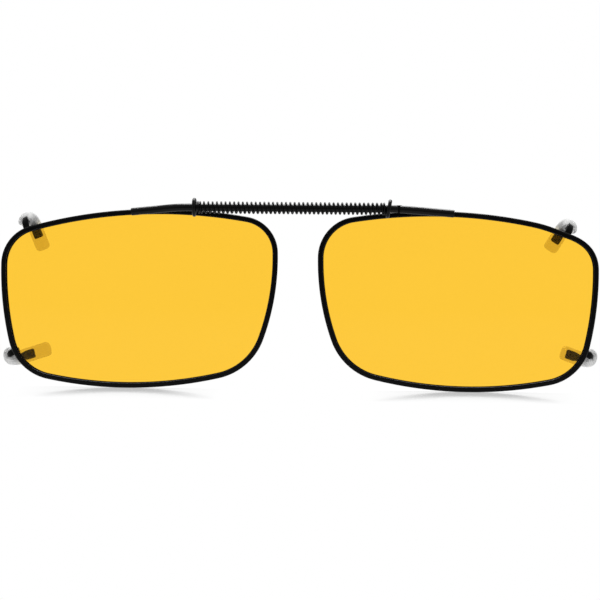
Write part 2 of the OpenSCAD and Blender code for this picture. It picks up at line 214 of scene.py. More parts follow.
class HookSettings(PropertyGroup):
    """The four sleeved hooks."""
    strip_width: length("Strip width", "Width of the hook strip", 1.4)
    strip_thickness: length("Strip thickness", "Thickness of the hook strip", 0.7)
    strip_round: length("Strip rounding", "Rounding of the strip's edges", 0.25)
    bend: length("Bend radius", "Radius of the hook's bend at the middle of the strip", 2)
    stubs: hook_lengths("Stubs", "Length of each strip inwards from the rim's middle", (0.5, 1.0, 0.5, 0.5))
    skews: hook_angles("Skews", "Sideways skew of each bend", (14, 14, 24, 24))
    places: hook_angles("Places", "Angle of the rim's normal at each hook", (113, 105, 207.5, 201))
    outs: hook_lengths("Offsets", "Each bend's centre outside the rim's middle", (0.45, -0.4, 0.4, 0.05))
    aims: hook_angles("Aims", "Direction in which each hook points out from its lens", (112, 122, 198, 199))
    strip_fingers: hook_lengths("Strip fingers", "Length of each strip past the bend", (2.7, 2.7, 3.1, 3.1))
    strip_flare: share("Strip flare", "Width of the strip's end against the rest of it", 1.28)
    sleeve_width: length("Sleeve width", "Width of a sleeve", 3.05)
    sleeve_thickness: length("Sleeve thickness", "Thickness of a sleeve", 2.3)
    sleeve_square: share("Sleeve squareness", "Power of the sleeve's oval section, 2 is an ellipse", 2.15)
    bore_side: length("Bore side", "Air left beside each edge of the strip in its sleeve", 0.12)
    bore_bite: length("Bore bite", "How far the sleeve grips into the strip's flat sides", 0.01)
    sleeve_start: angle("Sleeve start", "Angle round the bend at which a sleeve starts", 38)
    clings: hook_angles("Clings", "Angle round the bend up to which each sleeve clings", (82, 82, 45, 45))
    sleeve_lip: length("Sleeve lip", "Rounding of the sleeve's mouth", 0.2)
    sleeve_tip: length("Sleeve tip", "Rounding of the sleeve's closed tip", 0.9)
    fingers: hook_lengths("Fingers", "Length of each sleeve past the bend", (5.45, 4.7, 6.55, 4.2))


class FinishSettings(PropertyGroup):
    """The colours of the finishes."""
    enamel: colour("Enamel", "Black enamel of the rims, rods and hooks", (0.002, 0.002, 0.0021))
    # Painted sheen: a lighter grey painted on the straight parts of the hook strips, standing in for the
    # light they show
    rubbed: colour("Rubbed", "Enamel of the hooks where the sleeves rub it grey", (0.042, 0.04, 0.031))
    spring: colour("Spring", "Blackened spring wire", (0.002, 0.002, 0.0022))
    lens: colour("Lens tint", "What the lens lets through", (1.0, 0.592, 0.0445))
    sleeve: colour("Sleeve", "What the clear sleeves let through", (0.76, 0.7, 0.54))
    stretched: colour("Stretched sleeve", "The milky part of a sleeve", (0.96, 0.96, 0.955))


class StageSettings(PropertyGroup):
    """Camera, light and floor."""
    target_x: length("Target across", "Point across that the camera looks at", 0.605)
    target_z: length("Target height", "Height that the camera looks at", 0.03)
    azimuth: angle("Azimuth", "Turn of the camera to the right", 2.8)
    elevation: angle("Elevation", "Height of the camera above the horizon", 4)
    roll: angle("Roll", "Roll of the camera", 0.43)
    distance: length("Distance", "Distance of the camera", 390)
    view_width: length("View width", "Width of the view at the lenses", 122.55)
    key_power: power("Key light", "Power of the soft lamp", 4.2)
    shadow_front: length("Shadow front", "How far in front of the origin the floor keeps the shadow", 10)
    shadow_middle: length("Shadow middle", "Distance of each shadow's middle from the origin, across", 36)
    shadow_side: length("Shadow side", "How far beside each shadow's middle the floor keeps it", 8)
    shadow_fade: length("Shadow fade", "Length over which the floor turns all white beyond that", 13)
    table_front: length("Table front", "How far ahead the floor looks white in black pieces", 60)
    table_fade: length("Table fade", "Length over which it then looks dark in them", 120)


def settings(group):
    """One of the scene's settings groups."""
    return getattr(bpy.context.scene, "clip_on_" + group)


# Nodes

class Socket:
    """A node's output that works in expressions. Each operator adds one Math node."""

    def __init__(self, wires, output):
        self.wires = wires
        self.output = output

    def math(self, operation, *operands):
        """Adds a Math node on these numbers or sockets, or on this socket alone."""
        return self.wires.add("ShaderNodeMath", dict(enumerate(operands or [self])), operation=operation)

    def __add__(self, other):
        return self.math("ADD", self, other)

    def __sub__(self, other):
        return self.math("SUBTRACT", self, other)

    def __rsub__(self, other):
        return self.math("SUBTRACT", other, self)

    def __mul__(self, other):
        return self.math("MULTIPLY", self, other)

    def __truediv__(self, other):
        return self.math("DIVIDE", self, other)

    __radd__ = __add__
    __rmul__ = __mul__

    def at_least(self, other):
        """The larger of the two."""
        return self.math("MAXIMUM", self, other)

    def at_most(self, other):
        """The smaller of the two."""
        return self.math("MINIMUM", self, other)


class Wires:
    """Adds nodes to one tree and links them."""

    def __init__(self, tree):
        self.tree = tree

    def node(self, kind, inputs=None, **choices):
        """Adds a node: its choices first, then the values or links of its inputs."""
        node = self.tree.nodes.new(kind)
        for key, value in choices.items():
            setattr(node, key, value)
        for key, value in (inputs or {}).items():
            self.feed(node.inputs[key], value)
        return node

    def feed(self, target, value):
        """Links an input to a socket, or sets the input's own value."""
        if isinstance(value, Socket):
            self.tree.links.new(value.output, target)
        else:
            target.default_value = value

    def add(self, kind, inputs=None, output=0, **choices):
        """Adds a node and returns one of its outputs."""
        return Socket(self, self.node(kind, inputs, **choices).outputs[output])

    def outputs(self, kind, inputs=None):
        """Adds a node and returns all its outputs by name."""
        return {output.name: Socket(self, output) for output in self.node(kind, inputs).outputs}


def made_once(make):
    """Makes a finish or a node tree at its first use, under the maker's own name, for all who share it."""

    @functools.wraps(make)
    def found():
        name = make.__name__
        return bpy.data.materials.get(name) or bpy.data.node_groups.get(name) or make(name)

    return found


def geometry_tree(name, inputs):
    """A node tree with named inputs beside its geometry. Returns its wires and its inputs."""
    tree = bpy.data.node_groups.new(name, "GeometryNodeTree")
    for label, kind in {"Geometry": "Geometry", **inputs}.items():
        tree.interface.new_socket(label, in_out="INPUT", socket_type="NodeSocket" + kind)
    tree.interface.new_socket("Geometry", in_out="OUTPUT", socket_type="NodeSocketGeometry")
    wires = Wires(tree)
    return wires, wires.outputs("NodeGroupInput")


def end_tree(wires, geometry, material):
    """Ends a tree: smooth faces, no instances left, one material. Returns the tree."""
    smooth = wires.add("GeometryNodeSetShadeSmooth", {"Geometry": geometry})
    realized = wires.add("GeometryNodeRealizeInstances", {"Geometry": smooth})
    dressed = wires.add("GeometryNodeSetMaterial", {"Geometry": realized, "Material": material})
    wires.node("NodeGroupOutput", {"Geometry": dressed})
    return wires.tree


def add_sweep(wires, path, section):
    """Carries a section along a path, both of mesh edges, by the path's own up and scale attributes."""
    up = wires.add("GeometryNodeInputNamedAttribute", {"Name": UP_ATTRIBUTE}, data_type="FLOAT_VECTOR")
    scale = wires.add("GeometryNodeInputNamedAttribute", {"Name": SCALE_ATTRIBUTE}, data_type="FLOAT")
    line = wires.add("GeometryNodeMeshToCurve", {"Mesh": path})
    turned = wires.add("GeometryNodeSetCurveNormal", {"Curve": line, "Normal": up}, mode="FREE")
    shape = wires.add("GeometryNodeObjectInfo", {"Object": section}, "Geometry")
    profile = wires.add("GeometryNodeMeshToCurve", {"Mesh": shape})
    inputs = {"Curve": turned, "Profile Curve": profile, "Scale": scale, "Fill Caps": True}
    return wires.add("GeometryNodeCurveToMesh", inputs)


@made_once
def swept_wire(name):
    """One section carried along one path."""
    wires, given = geometry_tree(name, {"Section": "Object", "Material": "Material"})
    return end_tree(wires, add_sweep(wires, given["Geometry"], given["Section"]), given["Material"])


def two_sweeps(name, operation):
    """Two swept sections, joined or the second cut from the first."""
    objects = dict.fromkeys(("Section", "Second path", "Second section"), "Object")
    wires, given = geometry_tree(name, {**objects, "Material": "Material"})
    first = add_sweep(wires, given["Geometry"], given["Section"])
    path = wires.add("GeometryNodeObjectInfo", {"Object": given["Second path"]}, "Geometry")
    second = add_sweep(wires, path, given["Second section"])
    both = wires.node("GeometryNodeMeshBoolean", operation=operation, solver="EXACT")
    wires.feed(both.inputs["Mesh 1" if operation == "DIFFERENCE" else "Mesh 2"], first)
    wires.feed(both.inputs["Mesh 2"], second)
    return end_tree(wires, Socket(wires, both.outputs["Mesh"]), given["Material"])


@made_once
def joined_wires(name):
    """Two swept wires made one."""
    return two_sweeps(name, "UNION")


@made_once
def bored_sleeve(name):
    """A swept sleeve with a swept bore."""
    return two_sweeps(name, "DIFFERENCE")


@made_once
def wound_spring(name):
    """A wire wound round the bridge's axis, close-wound at both ends."""
    numbers = ("Length", "Turns", "Closed turns", "Closed pitch", "Coil radius", "Wire radius")
    wires, given = geometry_tree(name, {
        "From": "Vector",
        **dict.fromkeys(numbers, "Float"),
        **dict.fromkeys(("Points per turn", "Wire sides"), "Int"),
        "Material": "Material",
    })
    turns, closed, pitch = given["Turns"], given["Closed turns"], given["Closed pitch"]
    line = wires.add("GeometryNodeCurvePrimitiveLine")
    points = turns * given["Points per turn"] + 1
    fine = wires.add("GeometryNodeResampleCurve", {"Curve": line, "Count": points})
    turn = wires.add("GeometryNodeSplineParameter") * turns
    open_turns = turns - 2 * closed
    open_pitch = (given["Length"] - 2 * closed * pitch) / open_turns
    along = (
        turn.at_most(closed) * pitch
        + (turn - closed).at_least(0).at_most(open_turns) * open_pitch
        + (turn - closed - open_turns).at_least(0) * pitch
    )
    theta, radius = turn * FULL_TURN, given["Coil radius"]
    inputs = {"X": along, "Y": radius * theta.math("COSINE"), "Z": radius * theta.math("SINE")}
    place = wires.add("ShaderNodeCombineXYZ", inputs)
    moved = wires.add("ShaderNodeVectorMath", {0: place, 1: given["From"]}, operation="ADD")
    helix = wires.add("GeometryNodeSetPosition", {"Geometry": fine, "Position": moved})
    inputs = {"Resolution": given["Wire sides"], "Radius": given["Wire radius"]}
    wire = wires.add("GeometryNodeCurvePrimitiveCircle", inputs)
    inputs = {"Curve": helix, "Profile Curve": wire, "Fill Caps": True}
    return end_tree(wires, wires.add("GeometryNodeCurveToMesh", inputs), given["Material"])


def grown(start, tree, inputs):
    """Runs a node tree on an object, removes the object and returns what was made as a plain mesh."""
    modifier = start.modifiers.new(tree.name, "NODES")
    modifier.node_group = tree
    sockets = {item.name: item for item in tree.interface.items_tree if item.in_out == "INPUT"}
    for label, value in inputs.items():
        modifier[sockets[label].identifier] = value
    graph = bpy.context.evaluated_depsgraph_get()
    mesh = bpy.data.meshes.new_from_object(start.evaluated_get(graph), depsgraph=graph)
    if not mesh.polygons:
        raise RuntimeError(f"the node tree {tree.name} made no faces from {start.name}")
    bpy.data.objects.remove(start)
    return mesh


def sweep(path, section, material):
    """The mesh of a section carried along a path. The path is removed."""
    return grown(path, swept_wire(), {"Section": section, "Material": material})


def sweep_both(tree, path, section, second_path, second_section, material):
    """The mesh that a tree makes of two sweeps. Both paths are removed."""
    mesh = grown(path, tree, {
        "Section": section,
        "Second path": second_path,
        "Second section": second_section,
        "Material": material,
    })
    remove_lines(second_path)
    return mesh


# Meshes

def linked(name, data):
    """A new object for a mesh, a camera or a lamp, in the scene, at the origin."""
    made = bpy.data.objects.new(name, data)
    bpy.context.scene.collection.objects.link(made)
    return made


def line_object(name, points, closed, ups=None, scales=None):
    """A line of mesh edges. Given ups and scales are what a section carried along it follows."""
    mesh = bpy.data.meshes.new(name)
    edges = [(k, k + 1) for k in range(len(points) - 1)]
    if closed:
        edges.append((len(points) - 1, 0))
    mesh.from_pydata([tuple(p) for p in points], edges, [])
    if ups:
        stored = mesh.attributes.new(UP_ATTRIBUTE, "FLOAT_VECTOR", "POINT")
        stored.data.foreach_set("vector", [x for up in ups for x in up])
        stored = mesh.attributes.new(SCALE_ATTRIBUTE, "FLOAT", "POINT")
        stored.data.foreach_set("value", scales or [1.0] * len(points))
    return linked(name, mesh)


def remove_lines(*objects):
    """Removes the lines and sections that a piece was swept from."""
    for old in objects:
        bpy.data.objects.remove(old)


def section_object(name, outline):
    """A closed outline in its own plane, as an object that a sweep can carry."""
    return line_object(name, [(x, y, 0) for x, y in outline], True)


def ray(direction):
    """Unit vector at an angle in a plane."""
    return Vector((math.cos(direction), math.sin(direction)))


def direction_of(v):
    """Angle of a vector in a plane."""
    return math.atan2(v.y, v.x)


def rounded(corners, steps=5):
    """A closed outline of corners (x, y, radius), each rounded by an arc."""
    outline = []
    for k, (x, y, radius) in enumerate(corners):
        here = Vector((x, y))
        if radius == 0:
            outline.append(here)
            continue
        before = (Vector(corners[k - 1][:2]) - here).normalized()
        after = (Vector(corners[(k + 1) % len(corners)][:2]) - here).normalized()
        half = before.angle(after) / 2
        centre = here + (before + after).normalized() * (radius / math.sin(half))
        first = here + before * (radius / math.tan(half)) - centre
        last = here + after * (radius / math.tan(half)) - centre
        turn = -first.angle_signed(last)
        outline += [centre + Matrix.Rotation(turn * step / steps, 2) @ first for step in range(steps + 1)]
    return outline


def bar(width, height, radius):
    """A rounded rectangle about the origin."""
    x, y = width / 2, height / 2
    return rounded([(x, -y, radius), (x, y, radius), (-x, y, radius), (-x, -y, radius)])


def disc(radius, sides=28):
    """A circle about the origin."""
    return [radius * ray(FULL_TURN * k / sides) for k in range(sides)]


def oval(width, height, square, sides=48):
    """A rounded oval about the origin: an ellipse at a squareness of 2, squarer above."""
    outline = []
    for out in disc(1, sides):
        x, y = (math.copysign(abs(n) ** (2 / square), n) for n in out)
        outline.append((x * width / 2, y * height / 2))
    return outline


def smooth_step(t):
    """From 0 to 1 with level ends."""
    t = max(0.0, min(1.0, t))
    return t * t * (3 - 2 * t)


def place_piece(name, mesh, body, node):
    """Makes a mesh a finished piece: faces outwards, on its body, in the place of its frame node."""
    shell = bmesh.new()
    shell.from_mesh(mesh)
    bmesh.ops.remove_doubles(shell, verts=shell.verts, dist=MERGE_DISTANCE)
    bmesh.ops.recalc_face_normals(shell, faces=shell.faces)
    shell.to_mesh(mesh)
    shell.free()
    for attribute in (UP_ATTRIBUTE, SCALE_ATTRIBUTE):
        if attribute in mesh.attributes:
            mesh.attributes.remove(mesh.attributes[attribute])
    mesh.set_sharp_from_angle(angle=SHARP_EDGE)
    piece = linked(name, mesh)
    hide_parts(node)
    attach(piece, body)
    return piece


# Lens outline

def lens_sides():
    """Centre and radius of the four long arcs: top, temple, bottom, nose."""
    outline = settings("outline")
    rows = (
        (outline.top_reach, math.pi / 2 + outline.top_lean, outline.top_radius),
        (outline.temple_reach, math.pi + outline.temple_lean, outline.temple_radius),
        (outline.bottom_reach, 3 * math.pi / 2 + outline.bottom_lean, outline.bottom_radius),
        (outline.nose_reach, FULL_TURN - outline.nose_lean, outline.nose_radius),
    )
    return [((reach - radius) * ray(normal), radius) for reach, normal, radius in rows]


def lens_corners(side):
    """Centre and radius of the four corner arcs, each inside two neighbouring long arcs."""
    outline = settings("outline")
    sides = lens_sides()
    radii = (
        outline.top_temple_corner,
        outline.bottom_temple_corner,
        outline.bottom_nose_corner,
        getattr(outline, f"{side}_top_nose_corner"),
    )
    ways = (Vector((-1, 1)), Vector((-1, -1)), Vector((1, -1)), Vector((1, 1)))
    corners = []
    for k, (radius, way) in enumerate(zip(radii, ways)):
        (c1, r1), (c2, r2) = sides[k], sides[(k + 1) % 4]
        gap = (c2 - c1).length
        along = (c2 - c1) / gap
        foot = (gap ** 2 + (r1 - radius) ** 2 - (r2 - radius) ** 2) / (2 * gap)
        off = math.sqrt((r1 - radius) ** 2 - foot ** 2) * Vector((-along.y, along.x))
        if off.dot(way) < 0:
            off = -off
        corners.append((c1 + foot * along + off, radius))
    return corners


def slope_off(side, p):
    """How far the lens edge slopes inwards at a point of its arcs, which the right lens alone does."""
    if side == LEFT:
        return 0.0
    outline = settings("outline")
    aside = (direction_of(p) - outline.right_slope_place) / outline.right_slope_spread
    return outline.right_slope * math.exp(-aside ** 2)


def lens_stations(side):
    """The outline as (arc centre, arc radius, angle), counter-clockwise from the top edge."""
    outline = settings("outline")
    sides, corners = lens_sides(), lens_corners(side)
    stations = []
    for k, (centre, radius) in enumerate(sides):
        corner, corner_radius = corners[k]
        start = direction_of(corners[k - 1][0] - centre)
        end = direction_of(corner - centre)
        next_start = direction_of(corner - sides[(k + 1) % 4][0])
        for arc, size, first, last, steps in (
            (centre, radius, start, end, outline.side_steps),
            (corner, corner_radius, end, next_start, outline.corner_steps),
        ):
            turn = (last - first) % FULL_TURN
            for step in range(steps):
                direction = first + turn * step / steps
                stations.append((arc, size - slope_off(side, arc + size * ray(direction)), direction))
    return stations


def sag(p):
    """How far the lens's middle surface falls back from its vertex at a point of the lens plane."""
    curve = settings("rim").lens_curve
    return curve - math.sqrt(curve ** 2 - p.length_squared)


def vertex_y():
    """Depth of the lens's vertex, half a lens behind the frame's foremost lens point."""
    return LENS_FRONT + settings("rim").lens_thickness / 2


def on_side(side, p, y):
    """A point of the left lens plane at a depth, as it lies on either side."""
    return Vector((SIGN[side] * (settings("outline").spacing / 2 - p.x), y, p.y))


# Finishes

def new_material(name):
    """An empty node material and its wires."""
    material = bpy.data.materials.new(name)
    material.use_nodes = True
    material.node_tree.nodes.clear()
    return material, Wires(material.node_tree)


def show(wires, shader):
    """Links a shader to the material's surface."""
    wires.node("ShaderNodeOutputMaterial", {"Surface": shader})


def mixed(wires, factor, first, second):
    """One shader turning into another by a factor."""
    return wires.add("ShaderNodeMixShader", {0: factor, 1: first, 2: second})


def object_noise(wires, scale, detail=3.0):
    """Noise on the piece's own coordinates, from 0 to 1."""
    place = wires.add("ShaderNodeTexCoord", output="Object")
    return wires.add("ShaderNodeTexNoise", {"Vector": place, "Scale": scale, "Detail": detail})


def shade(rgb, factor):
    """A colour made darker or lighter."""
    return [x * factor for x in rgb]


def tone(wires, factor, start, end):
    """A colour between two, by a factor."""
    tints = [tint if isinstance(tint, Socket) else (*tint, 1) for tint in (start, end)]
    inputs = {"Factor": factor, **dict(zip(MIX_COLOURS, tints))}
    return wires.add("ShaderNodeMix", inputs, MIX_RESULT, data_type="RGBA")


def eased(wires, value, none_at, full_at):
    """Eases from 0 at one value to 1 at another."""
    inputs = {"Value": value, "From Min": none_at, "From Max": full_at}
    return wires.add("ShaderNodeMapRange", inputs, interpolation_type="SMOOTHSTEP")


def bump(wires, height, strength, mm):
    """A bumped normal from a height, over a distance in millimetres."""
    return wires.add("ShaderNodeBump", {"Strength": strength, "Distance": mm * MM, "Height": height})


def hook_place(wires):
    """The three numbers of a place on a hook, as HookLine marks them."""
    place = wires.add("ShaderNodeAttribute", output="Vector", attribute_name=HOOK_ATTRIBUTE)
    return wires.outputs("ShaderNodeSeparateXYZ", {"Vector": place}).values()


def lacquered_wire(name, base, shine=0.22, grain=5000, mirror=0.12, rubbed=None):
    """Black finish of a wire: mottled base, uneven gloss and a fine skin. A hook's straight parts, away from
    its bend, may get a lighter grey painted on as sheen.
    """
    material, wires = new_material(name)
    mottle = object_noise(wires, scale=400)
    skin = object_noise(wires, scale=grain, detail=2)
    tint = tone(wires, mottle, start=shade(base, 0.7), end=shade(base, 1.5))
    if rubbed is not None:
        # Painted sheen: away from the bend the strip turns to the lighter grey
        outwards, _, _ = hook_place(wires)
        tint = tone(wires, eased(wires, outwards, none_at=0.4, full_at=-0.4), start=tint, end=rubbed)
    show(wires, wires.add("ShaderNodeBsdfPrincipled", {
        "Base Color": tint,
        "Roughness": shine + 0.16 * mottle,
        "Normal": bump(wires, skin, strength=0.12, mm=0.02),
        "Specular IOR Level": mirror,
    }))
    return material


@made_once
def black_enamel(name):
    """Semi-gloss black enamel of the rims."""
    return lacquered_wire(name, settings("finish").enamel)


@made_once
def rubbed_enamel(name):
    """The same enamel on the hooks, with a lighter grey painted on as sheen away from their bends."""
    finish = settings("finish")
    return lacquered_wire(name, finish.enamel, rubbed=finish.rubbed)


@made_once
def burnished_enamel(name):
    """Black enamel of the rods and stops, burnished by sliding."""
    return lacquered_wire(name, settings("finish").enamel, shine=0.2, mirror=0.24)


@made_once
def blackened_spring(name):
    """Blackened spring wire."""
    return lacquered_wire(name, settings("finish").spring, shine=0.26, grain=7000, mirror=0.2)


def plastic(wires, tint, roughness, normal, ior, clear, alpha=1.0):
    """Clear plastic. What isn't clear of it is a milky haze."""
    return wires.add("ShaderNodeBsdfPrincipled", {
        "Base Color": tint,
        "Roughness": roughness,
        "IOR": ior,
        "Transmission Weight": clear,
        "Normal": normal,
        "Alpha": alpha,
    })


def let_light_through(wires, shader, share_passed):
    """Lets the lamps' light through a clear piece to what lies behind it, and keeps it out of mirrors."""
    light = wires.outputs("ShaderNodeLightPath")
    lit = light["Is Shadow Ray"].at_least(light["Is Diffuse Ray"])
    mirrored = (light["Is Glossy Ray"] - light["Transmission Depth"]).at_least(0)
    for rays, level in ((lit, share_passed), (mirrored, 1)):
        passed = wires.add("ShaderNodeBsdfTransparent", {"Color": (level, level, level, 1)})
        shader = mixed(wires, rays, shader, passed)
    return shader


@made_once
def tinted_lens(name):
    """Polished tinted sheet with the faintest of wipe marks."""
    material, wires = new_material(name)
    tint = settings("finish").lens
    haze = object_noise(wires, scale=60)
    base = tone(wires, haze, start=shade(tint, 0.985), end=tint)
    normal = bump(wires, object_noise(wires, scale=250), strength=0.02, mm=0.01)
    roughness = 0.004 + 0.012 * haze
    sheet = plastic(wires, base, roughness, normal, ior=1.22, clear=1.0)
    show(wires, let_light_through(wires, sheet, share_passed=0.5))
    return material


@made_once
def clear_vinyl(name):
    """Soft vinyl, a little cloudy, milky round its bend and clear again where it clings to the strip."""
    material, wires = new_material(name)
    finish = settings("finish")
    cloud = object_noise(wires, scale=900)
    aged = tone(wires, cloud, start=shade(finish.sleeve, 0.95), end=finish.sleeve)
    pale = tone(wires, cloud, start=shade(finish.stretched, 0.9), end=finish.stretched)
    normal = bump(wires, object_noise(wires, scale=2200), strength=0.05, mm=0.03)
    outwards, across, forwards = hook_place(wires)
    bend = eased(wires, outwards, none_at=-0.3, full_at=0.7)
    on_strip = eased(wires, across.math("ABSOLUTE"), none_at=0.6, full_at=0.48)
    below_top = eased(wires, outwards, none_at=1.22, full_at=1.1)
    in_front = eased(wires, forwards, none_at=0, full_at=0.15)
    seen = 1 - bend * (on_strip * below_top * in_front)
    smooth = 0.1 + 0.08 * cloud
    matt = 0.4 + 0.1 * cloud
    clear = plastic(wires, aged, smooth, normal, ior=1.15, clear=0.96, alpha=seen)
    milky = plastic(wires, pale, matt, normal, ior=1.1, clear=0.2, alpha=seen)
    show(wires, let_light_through(wires, mixed(wires, bend, clear, milky), share_passed=0.7))
    return material


# Pieces

class CLIPON_OT_rims(Operator):
    """Sweeps the grooved rim wires round the lens outline, bent to the lens curve"""
    bl_idname = "clip_on.rims"
    bl_label = "Rims"

    def execute(self, context):
        rim = settings("rim")
        half, groove = rim.depth / 2, rim.lens_thickness / 2 + rim.lens_play
        edge, lip = rim.edge_round, rim.lip_round
        section = section_object("rim_section", rounded([
            (0, -groove, 0), (0, -half, lip), (rim.width, -half, edge), (rim.width, half, edge),
            (0, half, lip), (0, groove, 0), (rim.groove_depth, groove, 0), (rim.groove_depth, -groove, 0),
        ]))
        for side in (LEFT, RIGHT):
            mesh = sweep(self.path(side), section, black_enamel())
            place_piece(f"{side}_rim_wire", mesh, BODY[side], f"{side}_rim")
        remove_lines(section)
        return {"FINISHED"}

    def path(self, side):
        """The lens edge as a closed line, whose ups point outwards along the lens curve."""
        curve = settings("rim").lens_curve
        rows = []
        for centre, radius, direction in lens_stations(side):
            out = ray(direction)
            p = centre + radius * out
            fall = p.dot(out) / math.sqrt(curve ** 2 - p.length_squared)
            up = Vector((-SIGN[side] * out.x, fall, out.y)).normalized()
            rows.append((on_side(side, p, vertex_y() + sag(p)), up))
        if side == RIGHT:
            rows.reverse()
        points, ups = zip(*rows)
        return line_object("rim_path", points, True, ups)


class CLIPON_OT_lenses(Operator):
    """Makes the two curved lens sheets with chamfered edges that sit in the grooves"""
    bl_idname = "clip_on.lenses"
    bl_label = "Lenses"

    # Rings of the sheet's faces, as shares of its outline
    rings = (0.97, 0.9, 0.8, 0.68, 0.55, 0.42, 0.29, 0.16, 0.06)

    def execute(self, context):
        rim = settings("rim")
        reach = rim.groove_depth - rim.lens_play
        for side in (LEFT, RIGHT):
            stations = lens_stations(side)
            edge, chamfer = (
                [centre + (radius + beyond) * ray(direction) for centre, radius, direction in stations]
                for beyond in (reach, reach - rim.lens_edge)
            )
            mesh = self.sheet(side, edge, chamfer)
            mesh.materials.append(tinted_lens())
            place_piece(f"{side}_lens_sheet", mesh, BODY[side], f"{side}_lens")
        return {"FINISHED"}

    def sheet(self, side, edge, chamfer):
        """One lens: its front rings from the middle out, its edge, and its rear rings back in."""
        rim = settings("rim")
        half = rim.lens_thickness / 2

        def surface(p, offset):
            radius = rim.lens_curve - offset
            return on_side(side, p, vertex_y() + rim.lens_curve - math.sqrt(radius ** 2 - p.length_squared))

        shell = bmesh.new()
        rows = [[surface(p * k, -half) for p in chamfer] for k in reversed(self.rings)]
        rows.append([surface(p, -half) for p in chamfer])
        rows.append([surface(p, rim.lens_edge - half) for p in edge])
        rows.append([surface(p, half - rim.lens_edge) for p in edge])
        rows.append([surface(p, half) for p in chamfer])
        rows += [[surface(p * k, half) for p in chamfer] for k in self.rings]
        rows = [[shell.verts.new(p) for p in row] for row in rows]
        for near, far in zip(rows, rows[1:]):
            for k in range(len(near)):
                shell.faces.new((near[k - 1], near[k], far[k], far[k - 1]))
        for row, offset in ((rows[0], -half), (rows[-1], half)):
            middle = shell.verts.new(surface(Vector((0, 0)), offset))
            for k in range(len(row)):
                shell.faces.new((row[k - 1], row[k], middle))
        for face in shell.faces:
            face.smooth = True
        mesh = bpy.data.meshes.new("lens")
        shell.to_mesh(mesh)
        shell.free()
        return mesh


def bridge_axis():
    """Depth and height of the bridge's axis, the middle of the frame's spring."""
    low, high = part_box("bridge_spring")
    return (low.y + high.y) / 2, (low.z + high.z) / 2


class CLIPON_OT_rods(Operator):
    """Makes the two bridge rods: a round foot along the rim and a half round that slides on the other"""
    bl_idname = "clip_on.rods"
    bl_label = "Bridge rods"

    foot_steps = 36
    arc_steps = 20
    # Rounding of a rod's two ends: share of the bevel from the end, and share of its cut at that place
    foot_bevel = ((0, 1), (0.15, 0.45), (0.5, 0.12), (1, 0))
    tip_bevel = ((0.4, 0.3), (0, 1))
    # Scale of the half round, so that its faces don't lie in those of the round that it joins
    slide_scale = 0.998

    def execute(self, context):
        bridge = settings("bridge")
        radius = bridge.rod / 2
        foot_section = section_object("foot_section", disc(radius))
        open_angle = math.acos(bridge.rod_play / bridge.rod)
        turns = [open_angle * (2 * k / self.arc_steps - 1) for k in range(self.arc_steps + 1)]
        slide_section = section_object("slide_section", [radius * ray(turn) for turn in turns])
        for side in (LEFT, RIGHT):
            foot, slide = self.foot_path(side), self.slide_path(side)
            mesh = sweep_both(joined_wires(), foot, foot_section, slide, slide_section, burnished_enamel())
            place_piece(f"{side}_rod_wire", mesh, BODY[side], f"{side}_bridge_rod")
        remove_lines(foot_section, slide_section)
        return {"FINISHED"}

    def ends(self, side):
        """Distances from the middle of a rod's foot end, its shoulder and its free end."""
        low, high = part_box(f"{side}_bridge_rod")
        other_low, other_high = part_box(f"{OTHER[side]}_bridge_rod")
        if side == LEFT:
            return -low.x, settings("bridge").shoulder_gap - other_low.x, high.x
        return high.x, settings("bridge").shoulder_gap + other_high.x, -low.x

    def bevel(self, shares):
        """Distances from a rod's end, and the scale of its section at each."""
        bridge = settings("bridge")
        radius = bridge.rod / 2
        return [(k * bridge.rod_bevel, 1 - cut * bridge.rod_bevel / radius) for k, cut in shares]

    def foot_path(self, side):
        """From the foot's end, up its slope and through the joggle, to the shoulder."""
        bridge, rim = settings("bridge"), settings("rim")
        axis_y, axis_z = bridge_axis()
        foot_end, shoulder, _ = self.ends(side)
        droop_start = getattr(bridge, f"{side}_droop_start")
        joggle_start = shoulder + 2 * bridge.shoulder
        slope = math.tan(getattr(bridge, f"{side}_foot_droop"))
        foot_z = axis_z - (foot_end - droop_start) * slope
        rim_point = Vector((foot_end - settings("outline").spacing / 2, foot_z))
        foot_y = vertex_y() + sag(rim_point) - rim.depth / 2 - bridge.braze_gap - bridge.rod / 2
        step = (foot_end - shoulder) / self.foot_steps
        rows = self.bevel(self.foot_bevel) + [(step * (k + 1), 1.0) for k in range(self.foot_steps)]
        points = []
        for inwards, _ in rows:
            x = foot_end - inwards
            t = (x - droop_start) / bridge.droop_blend
            past = max(0, x - droop_start) if abs(t) > 1 else bridge.droop_blend * (t + 1) ** 2 / 4
            y = axis_y + (foot_y - axis_y) * smooth_step((x - joggle_start) / bridge.joggle)
            points.append((SIGN[side] * x, y, axis_z - past * slope))
        scales = [scale for _, scale in rows]
        return line_object("foot_path", points, False, [FRONT] * len(points), scales)

    def slide_path(self, side):
        """From inside the shoulder to the free end, with its flat towards the other rod."""
        bridge = settings("bridge")
        axis_y, axis_z = bridge_axis()
        _, shoulder, tip = self.ends(side)
        rows = [(x, self.slide_scale) for x in (shoulder + bridge.shoulder, 0, bridge.rod_bevel - tip)]
        rows += [(inwards - tip, scale) for inwards, scale in self.bevel(self.tip_bevel)]
        up = FRONT if side == LEFT else BACK
        points = [(SIGN[side] * x, axis_y, axis_z) for x, _ in rows]
        return line_object("slide_path", points, False, [up] * len(points), [scale for _, scale in rows])


